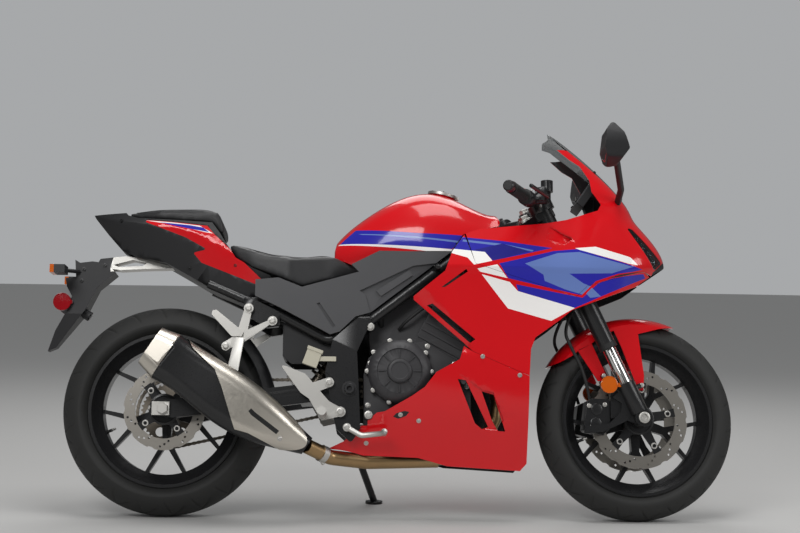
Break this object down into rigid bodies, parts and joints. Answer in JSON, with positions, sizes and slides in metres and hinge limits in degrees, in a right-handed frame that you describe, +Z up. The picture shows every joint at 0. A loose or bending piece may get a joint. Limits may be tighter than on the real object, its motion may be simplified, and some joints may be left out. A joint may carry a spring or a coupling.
{
  "type": "sport motorcycle",
  "caption": "Fully faired sport motorcycle leaning on its side stand, with turning wheels, steering, folding stand and hinged fuel cap.",
  "frame": {"origin": "middle of the bike's box, on the ground", "axes": "+X towards the front wheel, +Y to the bike's left, +Z up; the bike leans towards +Y"},
  "size_m": [2.074, 0.7579, 1.1815],
  "materials": {
    "red_paint": "gloss",
    "black_plastic": "satin",
    "dark_grey_plastic": "satin",
    "black_paint": "satin",
    "engine_paint": "satin",
    "steel": "brushed",
    "header_steel": "heat tinted",
    "alloy": "satin",
    "chrome": "polished",
    "rubber": "matt",
    "tyre": "matt",
    "seat_cover": "grained",
    "clear_screen": "clear",
    "lamp_lens": "smoked",
    "red_lens": "clear red",
    "amber_lens": "clear amber",
    "reservoir_plastic": "translucent"
  },
  "bodies": {
    "chassis": {"main_frame": "black_paint", "engine": "engine_paint", "engine_covers": "engine_paint", "inner_guard": "black_plastic", "radiator": "black_paint", "exhaust_pipe": "header_steel", "muffler": "black_paint", "muffler_shield": "steel", "fuel_tank": "red_paint", "side_covers": "dark_grey_plastic", "rider_seat": "seat_cover", "passenger_seat": "seat_cover", "tail_cowl": "black_plastic", "tail_panels": "red_paint", "tail_light": "red_lens", "plate_hanger": "black_plastic", "rear_indicators": "amber_lens", "mirrors": "black_plastic", "instrument_panel": "black_plastic", "swingarm": "black_paint", "rear_axle": "alloy", "rear_shock": "steel", "rear_hugger": "black_plastic", "drive_chain": "steel", "rear_caliper": "black_paint", "passenger_pegs": "alloy", "rider_pegs": "alloy", "foot_controls": "alloy", "brake_reservoir": "reservoir_plastic", "upper_cowl": "red_paint", "windscreen": "clear_screen", "headlights": "lamp_lens", "side_panel_left": "red_paint", "side_panel_right": "red_paint", "lower_cowl_left": "red_paint", "lower_cowl_right": "red_paint", "inner_cowl": "black_plastic"},
    "steering": {"triple_clamps": "black_paint", "fork_tubes": "black_paint", "fork_sliders": "chrome", "fork_feet": "black_paint", "front_axle": "steel", "front_fender": "red_paint", "front_calipers": "black_paint", "handlebars": "black_paint", "brake_hoses": "rubber", "side_reflectors": "amber_lens"},
    "front_wheel": {"front_rim": "black_paint", "front_tyre": "tyre", "front_discs": "steel"},
    "rear_wheel": {"rear_rim": "black_paint", "rear_tyre": "tyre", "rear_disc": "steel", "rear_sprocket": "steel"},
    "side_stand": {"side_stand": "black_paint"},
    "fuel_cap": {"fuel_cap": "alloy"}
  },
  "joints": [
    {"name": "steering", "type": "hinge", "parent": "chassis", "child": "steering", "pos_m": [0.46345, -0.04473, 0.78093], "axis": [-0.4298, 0.1365, 0.8926], "range_deg": [-37, 27]},
    {"name": "front_wheel_spin", "type": "hinge", "parent": "steering", "child": "front_wheel", "pos_m": [0.73773, -0.11566, 0.29579], "axis": [-0.0788, 0.9791, -0.1877], "continuous": true},
    {"name": "rear_wheel_spin", "type": "hinge", "parent": "chassis", "child": "rear_wheel", "pos_m": [-0.67213, -0.11703, 0.30939], "axis": [-0.0001, 0.9885, -0.1513], "continuous": true},
    {"name": "side_stand_fold", "type": "hinge", "parent": "chassis", "child": "side_stand", "pos_m": [-0.11622, 0.0418, 0.20975], "axis": [0.0002, 0.9598, 0.2807], "range_deg": [0, 95]},
    {"name": "fuel_cap_lid", "type": "hinge", "parent": "chassis", "child": "fuel_cap", "pos_m": [0.1975, -0.01638, 0.96641], "axis": [-0.0001, 0.9885, -0.1513], "range_deg": [0, 95]}
  ]
}
